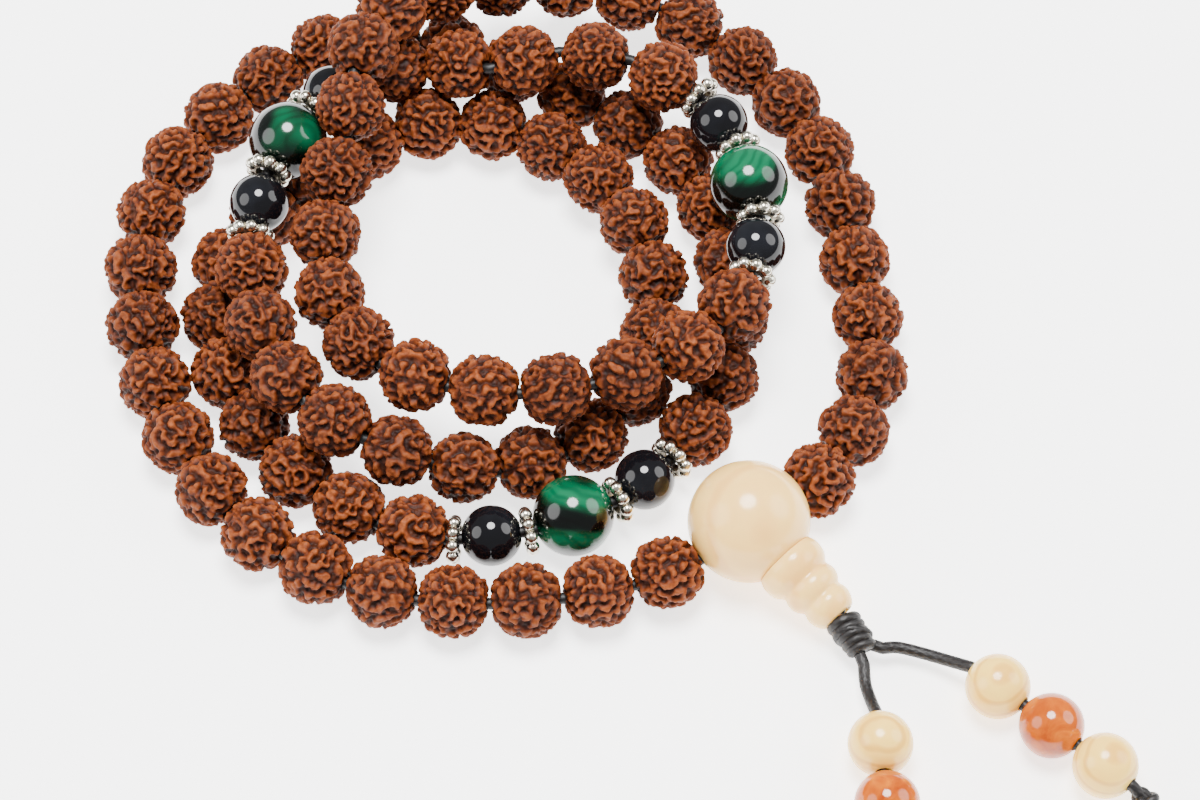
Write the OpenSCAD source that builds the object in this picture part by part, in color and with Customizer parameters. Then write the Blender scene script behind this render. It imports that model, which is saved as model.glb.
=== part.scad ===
// Mala of rudraksha seeds laid down in a coil, with three stone markers,
// a guru bead with its tower, and two short tails of smooth beads.
// Z is up and the coil rests on Z = 0. All lengths are in millimetres.

/* [Seeds] */
// Diameter of one rudraksha seed below its ridges
seed_d = 6.7; // [6.4:0.05:6.7]
// Bore of one rudraksha seed
seed_bore = 1.8; // [1.6:0.1:2]

/* [Markers] */
// Diameter of an onyx bead
onyx_d = 6; // [5:0.1:6]
// Diameter of a malachite bead
malachite_d = 8; // [7:0.1:8]
// Bore of the stone beads
stone_bore = 1.8; // [1.6:0.1:2]
// Outer diameter of a daisy spacer
spacer_d = 5; // [4.6:0.1:5]
// Granules round a daisy spacer
spacer_granules = 9; // [7:1:10]

/* [Guru] */
// Diameter of the guru bead
guru_d = 12; // [11:0.1:12]
// Length of the tower below the guru bead
tower_len = 7.4; // [7:0.1:7.5]
// Bore of the tower, wide enough for two cords side by side
tower_bore = 2.9; // [2.8:0.1:3]

/* [Tails] */
// Diameter of the smooth tail beads
tail_bead_d = 6.3; // [6:0.1:6.3]
// Bore of the smooth tail beads
tail_bore = 1.6; // [1.5:0.1:1.8]
// Diameter of the knot below the tower
knot_d = 3.4; // [3:0.1:3.6]
// Diameter of the knot at the end of a tail
end_knot_d = 2.9; // [2.6:0.1:3]

/* [Cord] */
// Diameter of the braided cord
cord_d = 1.2; // [1:0.05:1.3]

/* [Hidden] */

// Seeds in each run, from the guru bead round to the guru bead again.
RUNS = [27, 5, 26, 28];

// The route of the strand over the table. Each run starts at the bead that opens it:
// the guru bead, then the malachite bead of the right, left and front marker.
FIRST_RUN = [
    [14.5, -15.5, 6], [21.5, -10, 3.8], [27.6, 2.5, 3.6], [26, 16.5, 3.6], [23, 31, 3.6],
    [14.5, 43.5, 3.9], [1.5, 50, 6.6], [-12, 48, 10.5], [-19.8, 44.1, 13], [-23.5, 38.6, 15.5],
    [-25, 32.5, 15.7], [-25.6, 25.5, 13.3], [-27.8, 16, 10.8], [-25, 2.5, 10.8],
    [-12.5, -3.5, 10.8], [1.1, -2.5, 11.3], [12.5, 4.5, 11], [15.8, 14.1, 10.4]
];
SECOND_RUN = [
    [15.6, 22.4, 9.8], [11.8, 31.2, 9.7], [5.7, 36.3, 11], [-4.7, 39.1, 10], [-13.3, 36.7, 9.7],
    [-19.3, 40, 7.7], [-26.5, 36, 8.6]
];
THIRD_RUN = [
    [-32.4, 27.6, 10.9], [-34, 21.1, 10.7], [-35.3, 16.1, 9.6], [-33, 2, 9.8], [-24.5, -7, 8.8],
    [-9.5, -8.6, 4.1], [2.9, -1, 4], [6, 11.5, 4.9], [1.7, 24.6, 5.1], [-8.5, 33.8, 3.4],
    [-19.2, 34.7, 3.7], [-27, 29.7, 3.2], [-32.8, 24.4, 3.6], [-37.8, 18.5, 3.6], [-39, 9.9, 3.4],
    [-34.6, -3.2, 3.6], [-24, -13.2, 3.6], [-13, -16.2, 3.6]
];
LAST_RUN = [
    [-2.5, -14, 4.4], [5.4, -8.9, 3.9], [12.4, 2, 3.7], [13.4, 15.5, 3.6], [9.5, 28.5, 3.6],
    [-0.8, 37, 3.5], [-11.9, 43.2, 3.7], [-26, 45.9, 3.6], [-37.5, 38, 3.6], [-45.5, 26.5, 3.6],
    [-46.8, 12, 3.6], [-43, -2.3, 3.6], [-35, -14.5, 3.6], [-22, -22, 3.6], [-7.5, -23.2, 3.6],
    [7, -20.1, 3.7]
];

// The tower points from the guru bead to its tip, and the knot runs on from there.
GURU = FIRST_RUN[0];
TOWER_TIP = [23.2, -24.6, 3.1];
KNOT_END = [25.6, -28.2, 2.2];

// Each tail: the free cord from the knot to its first bead, then the centres of its beads.
RIGHT_CORD = [[27.3, -27.5, 2.2], [28.8, -27.3, 2], [31.2, -27.9, 1.9], [33.6, -29, 2.4]];
RIGHT_BEADS = [[38, -32.2, 3.2], [43, -36.5, 3.2], [47.8, -40.8, 3.2]];
LEFT_CORD = [[25.4, -29.4, 2.3], [25.5, -31.4, 2], [26, -33.6, 2.4]];
LEFT_BEADS = [[26.6, -38.4, 3.2], [27, -44.8, 3.2], [27.4, -51.2, 3.2]];
end_knot_drop = 0.8;      // how far the end knot hangs below the bead centres

daisy_gap = 1.4;          // room that a spacer takes between two beads
granule_d = 1.3;          // granule round the rim of a spacer
spline_steps = 12;        // straight steps between two route points
cord_sides = 8;           // sides of a swept cord
up = [0, 0, 1];

// Smooth curves through the route points.
function blend(a, b, c, d, t) =
    0.5 * (2 * b + (c - a) * t + (2 * a - 5 * b + 4 * c - d) * t * t + (3 * b - a - 3 * c + d) * t * t * t);
function closed_curve(pts) = [
    for (i = [0 : len(pts) - 1], k = [0 : spline_steps - 1])
        blend(pts[(i + len(pts) - 1) % len(pts)], pts[i], pts[(i + 1) % len(pts)],
            pts[(i + 2) % len(pts)], k / spline_steps),
    pts[0]
];
function open_curve(pts, steps) = [
    for (i = [0 : len(pts) - 2], k = [0 : steps - 1])
        blend(pts[max(i - 1, 0)], pts[i], pts[i + 1], pts[min(i + 2, len(pts) - 1)], k / steps),
    pts[len(pts) - 1]
];
function lengths(pts) = [
    for (i = 0, s = 0; i < len(pts); s = s + norm(pts[min(i + 1, len(pts) - 1)] - pts[i]), i = i + 1) s
];

// The whole strand as a table of place against length along it.
ROUTE = concat(FIRST_RUN, SECOND_RUN, THIRD_RUN, LAST_RUN);
CURVE = closed_curve(ROUTE);
ALONG = lengths(CURVE);
TABLE_X = [for (i = [0 : len(CURVE) - 1]) [ALONG[i], CURVE[i].x]];
TABLE_Y = [for (i = [0 : len(CURVE) - 1]) [ALONG[i], CURVE[i].y]];
TABLE_Z = [for (i = [0 : len(CURVE) - 1]) [ALONG[i], CURVE[i].z]];
function place(s) = [lookup(s, TABLE_X), lookup(s, TABLE_Y), lookup(s, TABLE_Z)];

// Length along the strand at which each run opens, and how much of it the opening bead takes.
run_first = [0, len(FIRST_RUN), len(FIRST_RUN) + len(SECOND_RUN),
    len(FIRST_RUN) + len(SECOND_RUN) + len(THIRD_RUN), len(ROUTE)];
run_at = [for (i = run_first) ALONG[i * spline_steps]];
marker_half = malachite_d / 2 + daisy_gap + onyx_d + daisy_gap;
run_margin = [guru_d / 2, marker_half, marker_half, marker_half, guru_d / 2];
function seeds_start(run) = run_at[run] + run_margin[run];
function seed_pitch(run) = (run_at[run + 1] - run_margin[run + 1] - seeds_start(run)) / RUNS[run];

// Points where one bead meets the next, run by run; the cord bends only there.
function seed_joint(run, i) = place(seeds_start(run) + seed_pitch(run) * i);
function marker_joint(m, place_along) = place(run_at[m] + place_along);
inner_step = malachite_d / 2 + daisy_gap / 2;
outer_step = inner_step + onyx_d + daisy_gap;
function inner_joint(m, side) = marker_joint(m, side * inner_step);
function outer_joint(m, side) = marker_joint(m, side * outer_step);
function seed_after(m, side) = side > 0 ? seed_joint(m, 1) : seed_joint(m - 1, RUNS[m - 1] - 1);
function unit(v) = v / norm(v);

// Bodies of revolution and drilled beads, all with their axis along a given direction.
module along(from, to) {
    d = to - from;
    translate(from)
        rotate([0, acos(d.z / norm(d)), atan2(d.y, d.x)])
            children();
}

// Round bead drilled along the line between the two points where it meets its neighbours.
module drilled_bead(diameter, bore, from, to) {
    along((from + to) / 2, to)
        rotate_extrude($fn = 64)
            intersection() {
                circle(d = diameter, $fn = 64);
                translate([bore / 2, -diameter / 2]) square([diameter / 2, diameter]);
            }
}

// Tube of the cord's diameter through a list of points, with flat ends.
function side_vector(t) = let (h = cross(up, t)) h / norm(h);
function ring(p, t, r) = let (a = side_vector(t), b = cross(t, a))
    [for (k = [0 : cord_sides - 1]) p + r * (cos(k * 360 / cord_sides) * a + sin(k * 360 / cord_sides) * b)];
function direction(pts, i) = unit(pts[min(i + 1, len(pts) - 1)] - pts[max(i - 1, 0)]);
module cord(pts) {
    rings = [for (i = [0 : len(pts) - 1]) each ring(pts[i], direction(pts, i), cord_d / 2)];
    last = (len(pts) - 1) * cord_sides;
    walls = [
        for (i = [0 : len(pts) - 2], k = [0 : cord_sides - 1])
            let (a = i * cord_sides + k, b = i * cord_sides + (k + 1) % cord_sides)
                each [[a, b, b + cord_sides], [a, b + cord_sides, a + cord_sides]]
    ];
    caps = [
        for (k = [1 : cord_sides - 2]) [0, k + 1, k],
        for (k = [1 : cord_sides - 2]) [last, last + k, last + k + 1]
    ];
    polyhedron(points = rings, faces = [for (f = concat(walls, caps)) [f[0], f[2], f[1]]]);
}

// Seeds, run by run. Every seed is drilled between the two points where it meets its neighbours.
module seed(run, i) {
    drilled_bead(seed_d, seed_bore, seed_joint(run, i), seed_joint(run, i + 1));
}
module seeds(run) {
    color("saddlebrown")
        for (i = [0 : RUNS[run] - 1]) seed(run, i);
}

// Stones of a marker, drilled between the spacers on either side.
module onyx_bead(m, side) {
    color("black") drilled_bead(onyx_d, stone_bore, inner_joint(m, side), outer_joint(m, side));
}
module malachite_bead(m) {
    color("seagreen") drilled_bead(malachite_d, stone_bore, inner_joint(m, -1), inner_joint(m, 1));
}

// Daisy spacer: a ring of granules round a short sleeve, square to the bend of the cord at its joint.
spacer_sleeve = 0.9;      // length of the sleeve along the cord
spacer_hole = 2.4;        // hole through the sleeve
module daisy_spacer(before, at, after) {
    rim = (spacer_d - granule_d) / 2;
    color("silver")
        along(at, at + unit(at - before) + unit(after - at)) {
            difference() {
                union() {
                    cylinder(h = spacer_sleeve, d = 2 * rim + 0.2, center = true, $fn = 48);
                    for (k = [0 : spacer_granules - 1])
                        rotate([0, 0, k * 360 / spacer_granules])
                            translate([rim, 0, 0]) sphere(d = granule_d, $fn = 24);
                }
                cylinder(h = 3 * granule_d, d = spacer_hole, center = true, $fn = 32);
            }
        }
}
module inner_daisy(m, side) {
    daisy_spacer(inner_joint(m, -side), inner_joint(m, side), outer_joint(m, side));
}
module outer_daisy(m, side) {
    daisy_spacer(inner_joint(m, side), outer_joint(m, side), seed_after(m, side));
}

// Guru bead, drilled from both sides to the middle and from the front for the two cord ends.
first_joint = seed_joint(0, 0);
last_joint = seed_joint(3, RUNS[3]);
tower_dir = unit(TOWER_TIP - GURU);
bore_depth = 1;           // how far the front hole runs past the middle of the guru bead
module guru_bead() {
    color("cornsilk")
        difference() {
            along(GURU, TOWER_TIP)
                rotate_extrude($fn = 96)
                    difference() {
                        intersection() {
                            circle(d = guru_d, $fn = 96);
                            translate([0, -guru_d / 2]) square(guru_d);
                        }
                        translate([0, -bore_depth]) square([tower_bore / 2, guru_d]);
                    }
            along(GURU, first_joint) cylinder(h = guru_d, d = seed_bore, $fn = 32);
            along(GURU, last_joint) cylinder(h = guru_d, d = seed_bore, $fn = 32);
        }
}

// Tower: three rounded rings that step down to a short neck, hollowed to sit on the guru bead.
seat_gap = 0.05;          // play between the tower and its neighbours
module tower_profile(first) {
    ring_h = [2.6, 2.2, 1.6];
    ring_w = [6.9, 5.8, 5];
    translate([tower_bore / 2, first]) square([4.4 / 2 - tower_bore / 2, tower_len]);
    for (i = [0 : 2]) {
        low = first + (i > 0 ? ring_h[0] : 0) + (i > 1 ? ring_h[1] : 0);
        translate([tower_bore / 2, low])
            square([ring_w[i] / 2 - tower_bore / 2 - ring_h[i] / 4, ring_h[i]]);
        translate([ring_w[i] / 2 - ring_h[i] / 4, low + ring_h[i] / 2])
            scale([0.5, 1]) circle(d = ring_h[i], $fn = 32);
    }
}
module guru_tower() {
    first = norm(TOWER_TIP - GURU) - seat_gap - tower_len;
    color("cornsilk")
        difference() {
            along(GURU, TOWER_TIP) rotate_extrude($fn = 64) tower_profile(first);
            translate(GURU) sphere(d = guru_d + 2 * seat_gap, $fn = 96);
        }
}

// Wrapped knot below the tower: a stack of rounded wraps, clear of the tower's tip.
module main_knot() {
    wraps = 4;
    knot_start = TOWER_TIP + 0.3 * unit(KNOT_END - TOWER_TIP);
    wrap_h = norm(KNOT_END - knot_start) / wraps;
    color("black")
        along(knot_start, KNOT_END)
            rotate_extrude($fn = 48) {
                square([knot_d / 2 - wrap_h / 2 + 0.1, wraps * wrap_h]);
                for (k = [0 : wraps - 1])
                    translate([knot_d / 2 - wrap_h / 2, (k + 0.5) * wrap_h]) circle(d = wrap_h, $fn = 24);
            }
}

// The strand's cord: up through the tower, out of one side of the guru bead, round all
// the beads and back in at the other side, with both ends side by side in the tower.
cord_apart = 0.66;        // half the distance between the two cords in the tower
module strand_cord() {
    side = cord_apart * unit(cross(tower_dir, up));
    away = sign(side * (first_joint - GURU)) * side;
    reach = norm(TOWER_TIP - GURU);
    down = [reach, 8, 4, 2];
    out = [for (d = down) GURU + away + d * tower_dir];
    back = [for (i = [len(down) - 1 : -1 : 0]) GURU - away + down[i] * tower_dir];
    turn_out = GURU + 1.6 * unit(first_joint - GURU);
    turn_back = GURU + 1.6 * unit(last_joint - GURU);
    beads = [
        for (r = [0 : 3]) each concat(
            r > 0 ? [inner_joint(r, 1), outer_joint(r, 1)] : [],
            [for (i = [0 : RUNS[r]]) seed_joint(r, i)],
            r < 3 ? [outer_joint(r + 1, -1), inner_joint(r + 1, -1)] : [])
    ];
    color("dimgray") cord(concat(out, [turn_out], beads, [turn_back], back));
}

// Tail cord from the knot through its three beads to the end knot.
function tail_end(beads) = let (last = beads[2], u = unit(beads[2] - beads[1]))
    last + u * (tail_bead_d / 2 + end_knot_d / 2 + 0.2) - [0, 0, end_knot_drop];
function tail_joints(beads) = [
    beads[0] - unit(beads[1] - beads[0]) * tail_bead_d / 2,
    (beads[0] + beads[1]) / 2,
    (beads[1] + beads[2]) / 2,
    beads[2] + unit(beads[2] - beads[1]) * tail_bead_d / 2
];
module tail_cord(route, beads) {
    free = open_curve(concat(route, [tail_joints(beads)[0]]), 2);
    joints = tail_joints(beads);
    stop = joints[3] + unit(tail_end(beads) - joints[3]) * 0.3;
    color("dimgray") cord(concat(free, [joints[1], joints[2], joints[3], stop]));
}
module tail_bead(beads, i, tint) {
    joints = tail_joints(beads);
    color(tint) drilled_bead(tail_bead_d, tail_bore, joints[i], joints[i + 1]);
}
module tail_knot(beads) {
    color("black") translate(tail_end(beads)) sphere(d = end_knot_d, $fn = 32);
}

strand_cord();
seeds(0);  // seeds_first_quarter
seeds(1);  // seeds_second_run
seeds(2);  // seeds_third_quarter
seeds(3);  // seeds_last_quarter
guru_bead();
guru_tower();
main_knot();
for (m = [1 : 3]) {
    malachite_bead(m);
    for (k = [0, 1]) {
        onyx_bead(m, 2 * k - 1);
        outer_daisy(m, 2 * k - 1);
        inner_daisy(m, 2 * k - 1);
    }
}
tail_cord(RIGHT_CORD, RIGHT_BEADS);  // tail_cord_right
tail_cord(LEFT_CORD, LEFT_BEADS);  // tail_cord_left
tail_knot(RIGHT_BEADS);  // tail_knot_right
tail_knot(LEFT_BEADS);  // tail_knot_left
tail_bead(RIGHT_BEADS, 0, "wheat");  // ivory_bead_right_1
tail_bead(RIGHT_BEADS, 1, "darkorange");  // amber_bead_right
tail_bead(RIGHT_BEADS, 2, "wheat");  // ivory_bead_right_2
tail_bead(LEFT_BEADS, 0, "wheat");  // ivory_bead_left_1
tail_bead(LEFT_BEADS, 1, "darkorange");  // amber_bead_left
tail_bead(LEFT_BEADS, 2, "wheat");  // ivory_bead_left_2
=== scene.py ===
"""Looks of the mala: carved seeds, stone markers, guru bead with its tower, knots, cords and light."""

import math

import bpy
import numpy as np
from mathutils import Matrix, Vector


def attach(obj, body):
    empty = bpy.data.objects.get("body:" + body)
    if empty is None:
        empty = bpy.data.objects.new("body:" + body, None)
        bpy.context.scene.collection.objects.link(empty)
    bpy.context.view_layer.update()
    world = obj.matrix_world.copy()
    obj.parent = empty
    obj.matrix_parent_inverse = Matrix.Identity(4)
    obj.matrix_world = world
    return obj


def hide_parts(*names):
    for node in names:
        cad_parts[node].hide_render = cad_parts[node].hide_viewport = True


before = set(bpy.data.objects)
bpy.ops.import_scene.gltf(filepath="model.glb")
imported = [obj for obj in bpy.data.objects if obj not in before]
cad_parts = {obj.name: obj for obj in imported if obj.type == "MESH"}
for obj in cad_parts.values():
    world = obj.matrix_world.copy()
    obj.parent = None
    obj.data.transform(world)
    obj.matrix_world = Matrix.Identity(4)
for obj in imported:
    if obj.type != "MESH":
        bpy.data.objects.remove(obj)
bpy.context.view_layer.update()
scene = bpy.context.scene

# ---------------------------------------------------------------- camera
camera = bpy.data.objects.new("camera", bpy.data.cameras.new("camera"))
scene.collection.objects.link(camera)
scene.camera = camera
camera.location = (0.0, -0.2208, 0.3439)
aim = Vector((0.0, 0.0025, 0.0)) - camera.location
camera.rotation_mode = "QUATERNION"
camera.rotation_quaternion = aim.to_track_quat("-Z", "Y")
camera.data.lens = 121.8
camera.data.sensor_width = 36.0
camera.data.clip_start = 0.01

# ---------------------------------------------------------------- the route, in millimetres
# One closed loop: the guru bead stands at its first point, a malachite bead at the start of each other run.
FIRST_RUN = [
    [14.5, -15.5, 6], [21.5, -10, 3.8], [27.6, 2.5, 3.6], [26, 16.5, 3.6], [23, 31, 3.6],
    [14.5, 43.5, 3.9], [1.5, 50, 6.6], [-12, 48, 10.5], [-19.8, 44.1, 13], [-23.5, 38.6, 15.5],
    [-25, 32.5, 15.7], [-25.6, 25.5, 13.3], [-27.8, 16, 10.8], [-25, 2.5, 10.8],
    [-12.5, -3.5, 10.8], [1.1, -2.5, 11.3], [12.5, 4.5, 11], [15.8, 14.1, 10.4],
]
SECOND_RUN = [
    [15.6, 22.4, 9.8], [11.8, 31.2, 9.7], [5.7, 36.3, 11], [-4.7, 39.1, 10], [-13.3, 36.7, 9.7],
    [-19.3, 40, 7.7], [-26.5, 36, 8.6],
]
THIRD_RUN = [
    [-32.4, 27.6, 10.9], [-34, 21.1, 10.7], [-35.3, 16.1, 9.6], [-33, 2, 9.8], [-24.5, -7, 8.8],
    [-9.5, -8.6, 4.1], [2.9, -1, 4], [6, 11.5, 4.9], [1.7, 24.6, 5.1], [-8.5, 33.8, 3.4],
    [-19.2, 34.7, 3.7], [-27, 29.7, 3.2], [-32.8, 24.4, 3.6], [-37.8, 18.5, 3.6], [-39, 9.9, 3.4],
    [-34.6, -3.2, 3.6], [-24, -13.2, 3.6], [-13, -16.2, 3.6],
]
LAST_RUN = [
    [-2.5, -14, 4.4], [5.4, -8.9, 3.9], [12.4, 2, 3.7], [13.4, 15.5, 3.6], [9.5, 28.5, 3.6],
    [-0.8, 37, 3.5], [-11.9, 43.2, 3.7], [-26, 45.9, 3.6], [-37.5, 38, 3.6], [-45.5, 26.5, 3.6],
    [-46.8, 12, 3.6], [-43, -2.3, 3.6], [-35, -14.5, 3.6], [-22, -22, 3.6], [-7.5, -23.2, 3.6],
    [7, -20.1, 3.7],
]
RUNS = [27, 5, 26, 28]  # seeds in each run
TOWER_TIP = np.array([23.2, -24.6, 3.1])
KNOT_END = np.array([25.6, -28.2, 2.2])
RIGHT_CORD = [[27.3, -27.5, 2.2], [28.8, -27.3, 2], [31.2, -27.9, 1.9], [33.6, -29, 2.4]]
RIGHT_BEADS = [[38, -32.2, 3.2], [43, -36.5, 3.2], [47.8, -40.8, 3.2]]
LEFT_CORD = [[25.4, -29.4, 2.3], [25.5, -31.4, 2], [26, -33.6, 2.4]]
LEFT_BEADS = [[26.6, -38.4, 3.2], [27, -44.8, 3.2], [27.4, -51.2, 3.2]]
GURU_D, MALACHITE_D, ONYX_D, TAIL_D = 12.0, 8.0, 6.0, 6.3
GAP = 1.4  # along the cord, for one spacer
CORD_R = 0.6
STONE_BORE, TAIL_BORE = 1.8, 1.6
TOWER_BORE_R = 1.45
GRANULES = 9
SEED_MESHES = 12
SEED_R, SEED_HALF = 3.36, 3.42  # across the bore and along it, without the ridges
SEED_REST = 3.72  # height of a seed's middle when its ridges touch the table
MM = 0.001


def unit(v):
    return v / np.linalg.norm(v)


def spline(pts, steps, closed):
    """Catmull-Rom points through the route points."""
    p = np.array(pts, float)
    n = len(p)
    out = []
    for i in range(n if closed else n - 1):
        if closed:
            a, b, c, d = p[i - 1], p[i], p[(i + 1) % n], p[(i + 2) % n]
        else:
            a, b, c, d = p[max(i - 1, 0)], p[i], p[i + 1], p[min(i + 2, n - 1)]
        for k in range(steps):
            t = k / steps
            second = 2 * a - 5 * b + 4 * c - d
            third = 3 * b - a - 3 * c + d
            out.append(0.5 * (2 * b + (c - a) * t + second * t**2 + third * t**3))
    out.append(p[0] if closed else p[-1])
    return np.array(out)


def along(pts):
    return np.r_[0, np.cumsum(np.linalg.norm(np.diff(pts, axis=0), axis=1))]


ROUTE = FIRST_RUN + SECOND_RUN + THIRD_RUN + LAST_RUN
STEPS = 12
CURVE = spline(ROUTE, STEPS, True)
REACH = along(CURVE)
STARTS = [0, len(FIRST_RUN), len(FIRST_RUN) + len(SECOND_RUN), len(ROUTE) - len(LAST_RUN), len(ROUTE)]
RUN_AT = [REACH[s * STEPS] for s in STARTS]
HALF = MALACHITE_D / 2 + 2 * GAP + ONYX_D
MARGIN = [GURU_D / 2, HALF, HALF, HALF, GURU_D / 2]
INNER = MALACHITE_D / 2 + GAP / 2
OUTER = INNER + ONYX_D + GAP


def place(s):
    return np.array([np.interp(s, REACH, CURVE[:, k]) for k in range(3)])


def seed_joint(run, i):
    first = RUN_AT[run] + MARGIN[run]
    return place(first + (RUN_AT[run + 1] - MARGIN[run + 1] - first) / RUNS[run] * i)


def marker_joint(m, s):
    return place(RUN_AT[m] + s)


# ---------------------------------------------------------------- shader helpers
def material(name, base, rough, metallic=0.0, specular=0.5, coat=0.0, sss=0.0, sss_radius=(1.0, 0.6, 0.35)):
    """Principled material; the subsurface radius is in millimetres."""
    m = bpy.data.materials.new(name)
    m.use_nodes = True
    b = m.node_tree.nodes["Principled BSDF"]
    b.inputs["Base Color"].default_value = (*base, 1)
    b.inputs["Roughness"].default_value = rough
    b.inputs["Metallic"].default_value = metallic
    b.inputs["Specular IOR Level"].default_value = specular
    b.inputs["Coat Weight"].default_value = coat
    b.inputs["Coat Roughness"].default_value = 0.06
    if sss:
        b.inputs["Subsurface Weight"].default_value = sss
        b.inputs["Subsurface Scale"].default_value = MM
        b.inputs["Subsurface Radius"].default_value = sss_radius
    return m, m.node_tree, b


def add(tree, kind, **values):
    n = tree.nodes.new(kind)
    for key, value in values.items():
        if key in n.inputs:
            n.inputs[key].default_value = value
        else:
            setattr(n, key, value)
    return n


def millimetres(tree, scale=(1000, 1000, 1000), turn=(0, 0, 0)):
    """Object coordinates in millimetres, stretched and turned."""
    where = add(tree, "ShaderNodeTexCoord")
    fit = add(tree, "ShaderNodeMapping")
    fit.inputs["Scale"].default_value = scale
    fit.inputs["Rotation"].default_value = turn
    tree.links.new(where.outputs["Object"], fit.inputs["Vector"])
    return fit.outputs["Vector"]


def ramp(tree, value, stops):
    r = add(tree, "ShaderNodeValToRGB")
    e = r.color_ramp.elements
    while len(e) < len(stops):
        e.new(0.5)
    for el, (at, colour) in zip(e, stops):
        el.position = at
        el.color = (*colour, 1)
    tree.links.new(value, r.inputs["Fac"])
    return r.outputs["Color"]


def noise(tree, vector, scale, detail=3.0, rough=0.5, distort=0.0):
    n = add(tree, "ShaderNodeTexNoise")
    n.inputs["Scale"].default_value = scale
    n.inputs["Detail"].default_value = detail
    n.inputs["Roughness"].default_value = rough
    n.inputs["Distortion"].default_value = distort
    tree.links.new(vector, n.inputs["Vector"])
    return n.outputs["Fac"]


def mix(tree, a, b, factor, mode="MIX"):
    m = add(tree, "ShaderNodeMix", data_type="RGBA", blend_type=mode)
    for socket, value in ((m.inputs[6], a), (m.inputs[7], b), (m.inputs[0], factor)):
        if hasattr(value, "is_output"):
            tree.links.new(value, socket)
        else:
            socket.default_value = value
    return m.outputs[2]


def remap(tree, value, low, high):
    m = add(tree, "ShaderNodeMapRange")
    m.inputs["To Min"].default_value = low
    m.inputs["To Max"].default_value = high
    tree.links.new(value, m.inputs["Value"])
    return m.outputs["Result"]


def shifted(tree, vector, amount):
    """The same coordinates moved by a different step for every piece."""
    info = add(tree, "ShaderNodeObjectInfo")
    step = add(tree, "ShaderNodeMath", operation="MULTIPLY")
    step.inputs[1].default_value = amount
    tree.links.new(info.outputs["Random"], step.inputs[0])
    move = add(tree, "ShaderNodeVectorMath", operation="ADD")
    tree.links.new(vector, move.inputs[0])
    tree.links.new(step.outputs[0], move.inputs[1])
    return move.outputs[0]


# ---------------------------------------------------------------- materials
def seed_material():
    m, t, b = material("carved_seed", (0.3, 0.1, 0.05), 0.6, specular=0.16)
    # Painted shade and light: the point attribute read here makes the crevices, grooves and hole dips near
    # black and the ridge tops lighter.
    relief_and_painted_shade = add(t, "ShaderNodeAttribute", attribute_name="relief_and_painted_shade").outputs["Fac"]
    base = ramp(
        t,
        relief_and_painted_shade,
        [
            (0.0, (0.004, 0.0006, 0.0001)),
            (0.3, (0.022, 0.0032, 0.0005)),
            (0.5, (0.075, 0.0135, 0.002)),
            (0.75, (0.145, 0.032, 0.006)),
            (1.0, (0.24, 0.063, 0.014)),
        ],
    )
    mm = shifted(t, millimetres(t), 37.0)
    dust = noise(t, mm, 0.9, 4.0, 0.6)
    dusty = mix(t, base, (0.18, 0.05, 0.013, 1), remap(t, dust, -0.3, 0.45))
    fine = noise(t, mm, 5.0, 3.0, 0.6)
    grain = ramp(t, fine, [(0.3, (0.7, 0.66, 0.64)), (0.7, (1.18, 1.12, 1.1))])
    shade = mix(t, dusty, grain, 1.0, "MULTIPLY")
    info = add(t, "ShaderNodeObjectInfo")
    tone = ramp(t, info.outputs["Random"], [(0.0, (0.8, 0.76, 0.74)), (1.0, (1.1, 1.08, 1.08))])
    t.links.new(mix(t, shade, tone, 1.0, "MULTIPLY"), b.inputs["Base Color"])
    t.links.new(remap(t, fine, 0.42, 0.75), b.inputs["Roughness"])
    return m


def malachite_material():
    m, t, b = material("banded_malachite", (0.01, 0.25, 0.12), 0.12, specular=0.35, coat=0.2)
    mm = shifted(t, millimetres(t), 23.0)
    wave = add(t, "ShaderNodeTexWave", wave_type="BANDS", bands_direction="DIAGONAL")
    for key, value in (("Scale", 0.055), ("Distortion", 5.5), ("Detail", 2.0), ("Detail Scale", 1.6)):
        wave.inputs[key].default_value = value
    t.links.new(mm, wave.inputs["Vector"])
    body = ramp(
        t,
        wave.outputs["Fac"],
        [
            (0.0, (0.0005, 0.001, 0.0008)),
            (0.3, (0.0006, 0.003, 0.002)),
            (0.45, (0.0004, 0.016, 0.007)),
            (0.65, (0.0006, 0.05, 0.02)),
            (1.0, (0.001, 0.1, 0.042)),
        ],
    )
    lines = add(t, "ShaderNodeTexWave", wave_type="BANDS", bands_direction="DIAGONAL")
    for key, value in (("Scale", 0.42), ("Distortion", 9.0), ("Detail", 2.0), ("Detail Scale", 0.5)):
        lines.inputs[key].default_value = value
    t.links.new(mm, lines.inputs["Vector"])
    stops = [(0.0, (0.55, 0.6, 0.58)), (0.5, (1, 1, 1)), (1.0, (1.15, 1.1, 1.1))]
    thin = ramp(t, lines.outputs["Fac"], stops)
    t.links.new(mix(t, body, thin, 0.7, "MULTIPLY"), b.inputs["Base Color"])
    return m


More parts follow.
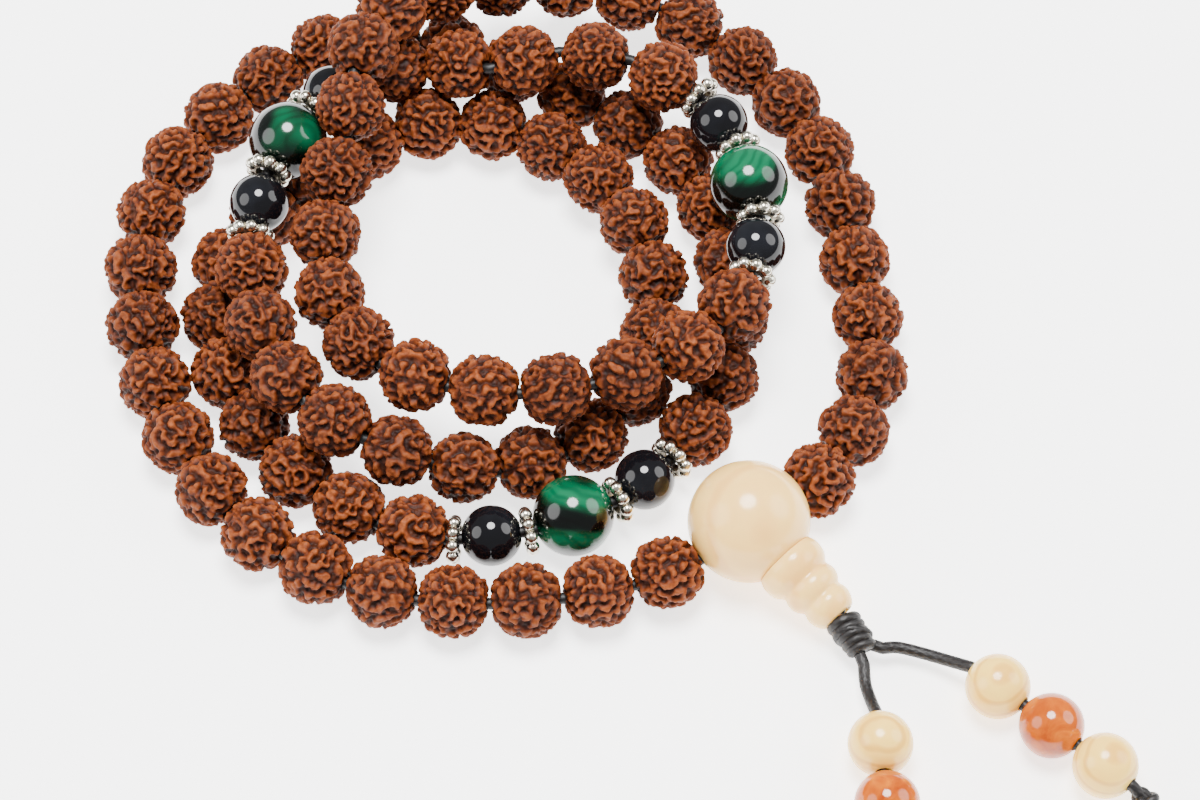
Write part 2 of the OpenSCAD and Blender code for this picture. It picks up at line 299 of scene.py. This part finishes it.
def cream_material(name, light, dark, size, strength, rough, stretch=(1, 1, 1)):
    m, t, b = material(name, light, rough, specular=0.4, coat=0.15, sss=0.25, sss_radius=(1.6, 1.1, 0.7))
    mm = shifted(t, millimetres(t, tuple(1000 * s for s in stretch), (0.5, 0.9, 0.2)), 19.0)
    wave = add(t, "ShaderNodeTexWave", wave_type="RINGS", rings_direction="SPHERICAL")
    for key, value in (("Scale", size), ("Distortion", 7.0), ("Detail", 3.0), ("Detail Scale", 0.35)):
        wave.inputs[key].default_value = value
    t.links.new(mm, wave.inputs["Vector"])
    lines = ramp(t, wave.outputs["Fac"], [(0.0, dark), (0.35, light), (1.0, light)])
    cloud = ramp(t, noise(t, mm, 0.25, 3.0), [(0.3, (0.93, 0.9, 0.86)), (0.7, (1.03, 1.02, 1.01))])
    t.links.new(mix(t, mix(t, (*light, 1), lines, strength), cloud, 1.0, "MULTIPLY"), b.inputs["Base Color"])
    return m


def amber_material():
    m, t, b = material(
        "cloudy_amber", (0.85, 0.3, 0.03), 0.1, specular=0.4, coat=0.15, sss=0.2, sss_radius=(1.2, 0.6, 0.05)
    )
    mm = shifted(t, millimetres(t), 31.0)
    cloud = noise(t, mm, 0.35, 4.0, 0.55, 1.2)
    colour = ramp(t, cloud, [(0.3, (0.3, 0.038, 0.0)), (0.55, (0.46, 0.092, 0.0)), (0.75, (0.6, 0.17, 0.0))])
    t.links.new(colour, b.inputs["Base Color"])
    return m


def metal_material(name, base, rough, low):
    m, t, b = material(name, base, rough, metallic=1.0)
    mm = millimetres(t)
    patina = ramp(t, noise(t, mm, 1.6, 3.0), [(0.3, low), (0.62, base)])
    t.links.new(patina, b.inputs["Base Color"])
    t.links.new(remap(t, noise(t, mm, 3.0), rough * 0.6, rough * 1.5), b.inputs["Roughness"])
    return m


def cord_material():
    m, t, b = material("dark_braid", (0.02, 0.012, 0.01), 0.5, specular=0.4)
    b.inputs["Sheen Weight"].default_value = 0.06
    b.inputs["Sheen Roughness"].default_value = 0.4
    mm = millimetres(t)
    fibre = noise(t, mm, 7.0, 3.0, 0.6)
    stops = [(0.35, (0.001, 0.0006, 0.0006)), (0.62, (0.004, 0.002, 0.002)), (0.8, (0.014, 0.008, 0.007))]
    colour = ramp(t, fibre, stops)
    t.links.new(colour, b.inputs["Base Color"])
    return m


def onyx_material():
    m, t, b = material("black_onyx", (0.004, 0.004, 0.005), 0.06, specular=0.3, coat=0.15)
    mm = shifted(t, millimetres(t), 11.0)
    vein = ramp(t, noise(t, mm, 0.3, 2.0), [(0.45, (0.003, 0.003, 0.004)), (0.8, (0.008, 0.009, 0.012))])
    t.links.new(vein, b.inputs["Base Color"])
    return m


SEED = seed_material()
MALACHITE = malachite_material()
ONYX = onyx_material()
CREAM = cream_material("cream_guru", (1.0, 0.62, 0.18), (0.72, 0.34, 0.07), 0.11, 0.35, 0.2)
IVORY = cream_material("ivory_tail", (1.0, 0.64, 0.13), (0.68, 0.33, 0.04), 0.3, 0.55, 0.2, (1, 1, 0.35))
AMBER = amber_material()
SILVER = metal_material("silver_granules", (0.83, 0.79, 0.68), 0.2, (0.5, 0.45, 0.34))
SLEEVE = metal_material("silver_sleeve", (0.42, 0.38, 0.3), 0.38, (0.1, 0.085, 0.06))
CORD = cord_material()


# ---------------------------------------------------------------- geometry helpers
def frame_of(at, axis):
    """Matrix with its origin at a point in millimetres and its Z along an axis."""
    turn = Vector(axis).normalized().to_track_quat("Z", "Y")
    return Matrix.Translation(Vector(at) * MM) @ turn.to_matrix().to_4x4()


def mesh_of(name, verts, faces, sharp=None):
    """Smooth-shaded mesh from points in millimetres, with sharp edges past an angle in degrees."""
    me = bpy.data.meshes.new(name)
    me.from_pydata([tuple(v) for v in np.asarray(verts, float) * MM], [], faces)
    me.validate()
    me.shade_smooth()
    if sharp:
        me.set_sharp_from_angle(angle=math.radians(sharp))
    me.update()
    return me


def piece(name, mesh, where, mats, body, nodes):
    """Object that rides a body and stands for CAD nodes."""
    o = bpy.data.objects.new(name, mesh)
    scene.collection.objects.link(o)
    o.matrix_world = where
    for m in mats:
        if m.name not in [x.name for x in mesh.materials if x]:
            mesh.materials.append(m)
    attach(o, body)
    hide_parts(*nodes)
    return o


def turned(profile, sides):
    """Closed profile of (radius, height) turned about Z."""
    n = len(profile)
    verts, faces = [], []
    for k in range(sides):
        a = 2 * math.pi * k / sides
        verts += [(r * math.cos(a), r * math.sin(a), z) for r, z in profile]
    for k in range(sides):
        j = (k + 1) % sides
        for i in range(n):
            q = (i + 1) % n
            faces.append((k * n + i, j * n + i, j * n + q, k * n + q))
    return verts, faces


def bead_profile(diameter, bore, steps=44, lip=0.08):
    """Ball with a bore whose edge is broken by a small lip."""
    r, h = diameter / 2, bore / 2
    top = math.acos(h / r)
    arc = [(r * math.cos(a), r * math.sin(a)) for a in np.linspace(-top, top, steps)]
    end = arc[-1][1]
    wall = [(h - lip, z) for z in np.linspace(end - lip, -end + lip, 6)]
    return arc + wall


def bead(name, ends, diameter, bore, mat, body, node):
    """Polished bead, drilled along the line between two points of the cord."""
    a, b = ends
    me = mesh_of(name, *turned(bead_profile(diameter, bore), 64), sharp=40)
    return piece(name, me, frame_of((a + b) / 2, b - a), [mat], body, [node])


def resample(pts, step):
    """Points at equal steps, with their distances along the line."""
    pts = np.array(pts, float)
    s = along(pts)
    n = max(2, int(round(s[-1] / step)) + 1)
    t = np.linspace(0, s[-1], n)
    return np.stack([np.interp(t, s, pts[:, k]) for k in range(3)], 1), t


def rope(pts, radius, sides, step, strands, lay, depth=0.14):
    """Braided rope along points: crossing strands stand proud of the round."""
    p, s = resample(pts, step)
    d = np.gradient(p, axis=0)
    d /= np.linalg.norm(d, axis=1)[:, None]
    n = np.cross([0.0, 0.0, 1.0], d[0])
    if np.linalg.norm(n) < 1e-3:
        n = np.cross([1.0, 0.0, 0.0], d[0])
    n = unit(n)
    verts = []
    theta = np.arange(sides) * 2 * math.pi / sides
    for i in range(len(p)):
        n = unit(n - d[i] * (n @ d[i]))
        b = np.cross(d[i], n)
        k = 2 * math.pi * s[i] / lay
        one = np.abs(np.cos(strands / 2 * theta + k))
        two = np.abs(np.cos(strands / 2 * theta - k))
        r = radius * (1 - depth + depth * np.maximum(one, two) ** 0.7)
        end = min(s[i], s[-1] - s[i]) / radius
        r = r * (1 if end > 1 else math.sqrt(max(0.0, 1 - (1 - end) ** 2)) * 0.98 + 0.02)
        verts += list(p[i] + (r * np.cos(theta))[:, None] * n + (r * np.sin(theta))[:, None] * b)
    faces = []
    for i in range(len(p) - 1):
        for k in range(sides):
            j = (k + 1) % sides
            faces.append((i * sides + k, i * sides + j, (i + 1) * sides + j, (i + 1) * sides + k))
    faces.append(tuple(range(sides - 1, -1, -1)))
    last = (len(p) - 1) * sides
    faces.append(tuple(last + k for k in range(sides)))
    return verts, faces


def joined(*parts):
    """Several (vertices, faces) as one, with the material index of each."""
    verts, faces, index = [], [], []
    for k, (v, f) in enumerate(parts):
        n = len(verts)
        verts += [tuple(x) for x in v]
        faces += [tuple(i + n for i in q) for q in f]
        index += [k] * len(f)
    return verts, faces, index


def ball(radius, at, rings=12, sides=20):
    verts, faces = [], []
    for i in range(rings + 1):
        a = math.pi * i / rings
        for k in range(sides):
            c = 2 * math.pi * k / sides
            verts.append(
                (
                    at[0] + radius * math.sin(a) * math.cos(c),
                    at[1] + radius * math.sin(a) * math.sin(c),
                    at[2] + radius * math.cos(a),
                )
            )
    for i in range(rings):
        for k in range(sides):
            j = (k + 1) % sides
            faces.append((i * sides + k, (i + 1) * sides + k, (i + 1) * sides + j, i * sides + j))
    return verts, faces


# ---------------------------------------------------------------- tails and their cords
def tail_joints(beads):
    b = np.array(beads, float)
    return [
        b[0] - unit(b[1] - b[0]) * TAIL_D / 2,
        (b[0] + b[1]) / 2,
        (b[1] + b[2]) / 2,
        b[2] + unit(b[2] - b[1]) * TAIL_D / 2,
    ]


def end_knot(centre, towards):
    """A pulled-tight overhand knot of the cord."""
    t = np.linspace(0, 2 * math.pi, 90)
    loop = np.stack(
        [np.sin(t) + 2 * np.sin(2 * t), np.cos(t) - 2 * np.cos(2 * t), -1.15 * np.sin(3 * t)], 1
    )
    loop = loop / 3 * 0.92
    x = unit(np.cross(towards, [0.0, 0.0, 1.0]))
    y = np.cross(towards, x)
    pts = centre + loop[:, :1] * x + loop[:, 1:2] * np.array(towards) + loop[:, 2:] * y
    return rope(pts, 0.5, sides=16, step=0.12, strands=4, lay=1.2)


HERE = Matrix.Identity(4)
TAILS = {"right": (RIGHT_CORD, RIGHT_BEADS), "left": (LEFT_CORD, LEFT_BEADS)}
knot_dir = unit(KNOT_END - TOWER_TIP)
for side, (free, beads) in TAILS.items():
    joints = tail_joints(beads)
    u = unit(joints[3] - joints[2])
    knot_at = np.array(beads[2]) + u * (TAIL_D / 2 + 1.45 + 0.2) - np.array([0, 0, 0.8])
    inside = KNOT_END - knot_dir * 1.4 + unit(np.array(free[0]) - KNOT_END) * 0.45
    path = np.concatenate(
        [
            [inside],
            spline(free + [list(joints[0])], 4, False),
            [joints[1], joints[2], joints[3], knot_at],
            [knot_at + unit(knot_at - joints[3]) * 1.9],
        ]
    )
    body = "tail_" + side
    me = mesh_of("braid_" + side, *rope(path, CORD_R, sides=32, step=0.12, strands=8, lay=2.2))
    line = piece("braid_" + side, me, HERE, [CORD], body, ["tail_cord_" + side])
    me = mesh_of("end_knot_" + side, *end_knot(knot_at, u))
    knot = piece("end_knot_" + side, me, HERE, [CORD], body, ["tail_knot_" + side])
    names = ("ivory_bead_%s_1" % side, "amber_bead_%s" % side, "ivory_bead_%s_2" % side)
    for i, name in enumerate(names):
        amber = name.startswith("amber")
        bead(
                "smooth_" + name,
                (joints[i], joints[i + 1]),
                TAIL_D,
                TAIL_BORE,
                AMBER if amber else IVORY,
                name.replace("_bead", ""),
                name,
            )

# ---------------------------------------------------------------- cord of the strand
tower_dir = unit(TOWER_TIP - np.array(ROUTE[0], float))
guru_at = np.array(ROUTE[0], float)
first_joint, last_joint = seed_joint(0, 0), seed_joint(3, RUNS[3])
aside = 0.66 * unit(np.cross(tower_dir, [0.0, 0.0, 1.0]))
away = np.sign(aside @ (first_joint - guru_at)) * aside
top = np.linalg.norm(TOWER_TIP - guru_at)
strand = [guru_at + away + d * tower_dir for d in (top, 8, 4, 2)]
strand.append(guru_at + 1.6 * unit(first_joint - guru_at))
for r in range(4):
    if r:
        strand += [marker_joint(r, INNER), marker_joint(r, OUTER)]
    strand += [seed_joint(r, i) for i in range(RUNS[r] + 1)]
    if r < 3:
        strand += [marker_joint(r + 1, -OUTER), marker_joint(r + 1, -INNER)]
strand.append(guru_at + 1.6 * unit(last_joint - guru_at))
strand += [guru_at - away + d * tower_dir for d in (2, 4, 8, top)]
me = mesh_of("braid_strand", *rope(strand, CORD_R, sides=12, step=0.3, strands=4, lay=2.4))
piece("braid_strand", me, HERE, [CORD], "strand", ["strand_cord"])


# ---------------------------------------------------------------- carved seeds
def icosphere(level):
    """Unit directions, faces and edges of an evenly divided ball."""
    bpy.ops.mesh.primitive_ico_sphere_add(subdivisions=level, radius=1.0)
    o = bpy.context.object
    me = o.data
    co = np.array([v.co for v in me.vertices])
    faces = [tuple(p.vertices) for p in me.polygons]
    edges = np.array([tuple(e.vertices) for e in me.edges])
    bpy.data.objects.remove(o)
    return co / np.linalg.norm(co, axis=1)[:, None], faces, edges


def spread(field, edges, times):
    """Average over the neighbours, some times over."""
    n = len(field)
    degree = np.bincount(edges.ravel(), minlength=n)
    left, right = edges[:, 0], edges[:, 1]
    for _ in range(times):
        total = np.bincount(left, field[right], n) + np.bincount(right, field[left], n)
        field = (total + field) / (degree + 1)
    return field


def bands(rng, edges, n, near, far, rounds=2):
    """Noise that keeps one width of ridge: worms and knobs."""
    f = rng.standard_normal(n)
    for _ in range(rounds):
        f = spread(f, edges, near) - spread(f, edges, far)
        f /= f.std()
    return f


def seed_mesh(name, seed, ball_co, faces, edges):
    """Carved seed: worm-like ridges, five or six grooves from hole to hole, and a dip at each hole. Its
    points carry painted shade: dark in the hollows, grooves and hole dips, light on the ridges.
    """
    rng = np.random.default_rng(seed)
    n = len(ball_co)
    z = ball_co[:, 2]
    rim = np.sqrt(np.clip(1 - z * z, 0, 1))
    lon = np.arctan2(ball_co[:, 1], ball_co[:, 0])
    width = int(rng.integers(5, 9))
    worms = bands(rng, edges, n, width, 3 * width)
    knobs = bands(rng, edges, n, 2, 6)
    broad = bands(rng, edges, n, 60, 160, 1)
    relief_and_painted_shade = 0.5 + 0.5 * np.tanh(1.7 * worms + 0.25 * knobs)
    groove = np.zeros(n)
    quiet = np.zeros(n)
    lines = 5 + seed % 2
    for k in range(lines):
        at = 2 * math.pi * (k + 0.25 * rng.uniform(-1, 1)) / lines + 0.08 * np.sin(3 * z + seed)
        gap = np.abs((lon - at + math.pi) % (2 * math.pi) - math.pi) * rim * 3.5
        groove = np.maximum(groove, np.exp(-((gap / 0.11) ** 2)))
        quiet = np.maximum(quiet, np.exp(-((gap / 0.3) ** 2)))
    relief_and_painted_shade = relief_and_painted_shade * (1 - 0.55 * quiet) + 0.3 * quiet
    hole = np.clip((np.abs(z) - 0.97) / 0.02, 0, 1)
    base = 1 / np.sqrt((rim / SEED_R) ** 2 + (z / SEED_HALF) ** 2)
    height = rng.uniform(0.44, 0.58) * (relief_and_painted_shade - 0.4)
    height = height + 0.07 * np.tanh(knobs) + 0.09 * np.tanh(broad) - 0.12 * groove
    height *= 1 - 0.5 * np.clip((np.abs(z) - 0.82) / 0.14, 0, 1)
    radius = base + height - 1.0 * hole
    verts = ball_co * radius[:, None]
    me = mesh_of(name, verts, faces)
    # Painted shade and light: darker in the grooves and the dips at the holes, lighter on the ridges and
    # knobs.
    tone = np.clip(0.16 + 0.72 * relief_and_painted_shade + 0.1 * np.tanh(knobs) - 0.35 * groove, 0, 1) * (1 - 0.8 * hole)
    me.attributes.new("relief_and_painted_shade", "FLOAT", "POINT").data.foreach_set("value", tone.astype(np.float32))
    return me


level = 6
co, ico_faces, ico_edges = icosphere(level)
variants = [seed_mesh("seed_%02d" % k, 40 + k, co, ico_faces, ico_edges) for k in range(SEED_MESHES)]
groups = ["seeds_first_quarter", "seeds_second_run", "seeds_third_quarter", "seeds_last_quarter"]
rng = np.random.default_rng(11)
for run in range(4):
    for i in range(RUNS[run]):
        a, b = seed_joint(run, i), seed_joint(run, i + 1)
        if rng.random() < 0.5:
            a, b = b, a
        # a seed that lies on the table rests on its ridges
        lift = np.array([0, 0, min(max(SEED_REST - (a[2] + b[2]) / 2, 0), 0.45)])
        where = frame_of((a + b) / 2 + lift, b - a) @ Matrix.Rotation(rng.uniform(0, 2 * math.pi), 4, "Z")
        size = rng.uniform(0.975, 1.02)
        where = where @ Matrix.Diagonal((size, size, 1.0, 1.0))
        name = "seed_%d_%02d" % (run + 1, i + 1)
        carved = variants[rng.integers(SEED_MESHES)]
        piece(name, carved, where, [SEED], "strand", [groups[run]])


# ---------------------------------------------------------------- markers
def daisy():
    """Ring of nine granules round a grooved sleeve, turned about Z."""
    rim = 1.85
    parts = []
    for k in range(GRANULES):
        a = 2 * math.pi * k / GRANULES
        parts.append(ball(0.65, (rim * math.cos(a), rim * math.sin(a), 0)))
    half = [(1.2, 0.45), (1.75, 0.45), (1.95, 0.3), (1.8, 0.1)]
    parts.append(turned([(r, -z) for r, z in half] + half[::-1], 48))
    verts, faces, index = joined(*parts)
    me = mesh_of("daisy", verts, faces, sharp=45)
    me.materials.append(SILVER)
    me.materials.append(SLEEVE)
    for p, i in zip(me.polygons, index):
        p.material_index = 1 if i == GRANULES else 0
    return me


DAISY = daisy()


def spacer(number, before, at, after):
    """Spacer at a joint of the cord, square to the bisector of its two sides."""
    where = frame_of(at, unit(at - before) + unit(after - at))
    name, body, node = ["%s_%d" % (word, number) for word in ("granule_ring", "spacer", "daisy_spacer")]
    piece(name, DAISY, where, [SILVER, SLEEVE], body, [node])


for m in (1, 2, 3):
    inner = {s: marker_joint(m, s * INNER) for s in (-1, 1)}
    outer = {s: marker_joint(m, s * OUTER) for s in (-1, 1)}
    after = {1: seed_joint(m, 1), -1: seed_joint(m - 1, RUNS[m - 1] - 1)}
    node = "malachite_bead_%d" % m
    body = "malachite_%d" % m
    ends = (inner[-1], inner[1])
    bead("polished_" + node, ends, MALACHITE_D, STONE_BORE, MALACHITE, body, node)
    for k, s in ((0, -1), (1, 1)):
        node = "onyx_bead_%d" % (2 * m - 1 + k)
        body = "onyx_%d" % (2 * m - 1 + k)
        bead("polished_" + node, (inner[s], outer[s]), ONYX_D, STONE_BORE, ONYX, body, node)
        spacer(4 * m - 3 + 3 * k, inner[s], outer[s], after[s])
        spacer(4 * m - 2 + k, inner[-s], inner[s], outer[s])

# ---------------------------------------------------------------- guru bead, tower and knot
# The guru bead has a wide bore for the tower's cord, and a narrow one for each end of the row.
r = GURU_D / 2
start = math.acos(TOWER_BORE_R / r)
arc = [(r * math.cos(a), r * math.sin(a)) for a in np.linspace(-math.pi / 2 + 0.001, start, 90)]
profile = arc + [(1.38, arc[-1][1] - 0.06), (1.38, -1.0), (0.001, -1.0)]
me = mesh_of("guru", *turned(profile, 128), sharp=40)
where = frame_of(guru_at, tower_dir)
guru = piece("cream_guru_bead", me, where, [CREAM], "strand", ["guru_bead"])
drill_dirs = [first_joint - guru_at, last_joint - guru_at]
for k, d in enumerate(drill_dirs):
    bpy.ops.mesh.primitive_cylinder_add(vertices=40, radius=0.0009, depth=0.012)
    tool = bpy.context.object
    tool.matrix_world = frame_of(guru_at + unit(d) * 6.0, d)
    cut = guru.modifiers.new("bore_%d" % k, "BOOLEAN")
    cut.object = tool
    cut.solver = "EXACT"
    bpy.context.view_layer.update()
    with bpy.context.temp_override(object=guru, active_object=guru, selected_objects=[guru]):
        bpy.ops.object.modifier_apply(modifier=cut.name)
    bpy.data.objects.remove(tool)
guru.data.shade_smooth()
guru.data.set_sharp_from_angle(angle=math.radians(40))

seat_r = 6.05  # the tower's foot follows the guru bead
first = top - 0.05 - 7.4
outline = [
    [3.22, -0.3, 0], [3.44, 0.3, 0], [3.46, 1.0, 0], [3.3, 1.75, 0], [2.86, 2.35, 0], [2.72, 2.65, 0],
    [2.88, 3.2, 0], [2.88, 3.8, 0], [2.66, 4.35, 0], [2.34, 4.75, 0], [2.3, 5.0, 0], [2.45, 5.5, 0],
    [2.44, 6.1, 0], [2.22, 6.75, 0], [1.85, 7.25, 0], [1.58, 7.39, 0],
]
shape = [(p[0], first + p[1]) for p in spline(outline, 5, False)]
seat = [(x, math.sqrt(seat_r**2 - x * x)) for x in np.linspace(TOWER_BORE_R, 3.15, 12)]
shape.append((TOWER_BORE_R, top - 0.2))
me = mesh_of("tower", *turned(seat + shape, 96), sharp=50)
piece("cream_tower", me, where, [CREAM], "tower", ["guru_tower"])


def wraps():
    """The knot below the tower: a slanted coil of the cord over a core, with one lock across it."""
    length = np.linalg.norm(KNOT_END - TOWER_TIP)
    t = np.linspace(0, 1, 260)
    turns = 4.6
    radius = 1.28 - 0.3 * t
    a = 2 * math.pi * turns * t
    slant = 0.32 * np.cos(a)
    coil = np.stack([radius * np.cos(a), radius * np.sin(a), 0.5 + (length - 1.0) * t + slant], 1)
    b = np.linspace(0, 2 * math.pi, 60)
    lock = np.stack([1.3 * np.cos(b), 1.2 * np.sin(b), length * 0.52 + 0.95 * np.cos(b + 0.5)], 1)
    core = [(0.001, 0.1), (0.9, 0.1), (0.9, length - 0.3), (0.001, length - 0.3)]
    weave = {"sides": 20, "step": 0.12, "strands": 6, "lay": 1.3, "depth": 0.2}
    return joined(rope(coil, 0.56, **weave), rope(lock, 0.52, **weave), turned(core, 24))[:2]


me = mesh_of("main_wraps", *wraps())
piece("wrapped_knot", me, frame_of(TOWER_TIP, knot_dir), [CORD], "strand", ["main_knot"])

# ---------------------------------------------------------------- floor and light
bpy.ops.mesh.primitive_plane_add(size=3.0, location=(0, 0, 0))
floor = bpy.context.object
floor.name = "floor"
paint, tree, shader = material("floor_white", (0.9, 0.9, 0.9), 0.6, specular=0.2)
shader.inputs["Emission Color"].default_value = (1.0, 1.0, 1.0, 1)
shader.inputs["Emission Strength"].default_value = 2.4
floor.data.materials.append(paint)


def area(name, at, aim_at, size, watts, colour=(1, 1, 1)):
    light = bpy.data.lights.new(name, "AREA")
    light.shape = "DISK"
    light.size = size
    light.energy = watts
    light.color = colour
    o = bpy.data.objects.new(name, light)
    scene.collection.objects.link(o)
    o.location = at
    o.rotation_mode = "QUATERNION"
    o.rotation_quaternion = (Vector(aim_at) - Vector(at)).to_track_quat("-Z", "Y")
    return o


area("overhead", (-0.02, 0.06, 0.62), (0, 0, 0), 0.3, 11.0)
area("side_right", (0.7, 0.1, 0.5), (0, 0, 0), 0.6, 6.0)
area("side_left", (-0.7, -0.1, 0.45), (0, 0, 0), 0.6, 5.0)
world = bpy.data.worlds.new("studio")
scene.world = world
world.use_nodes = True
world.node_tree.nodes["Background"].inputs["Color"].default_value = (1.0, 1.0, 1.0, 1)
world.node_tree.nodes["Background"].inputs["Strength"].default_value = 0.4
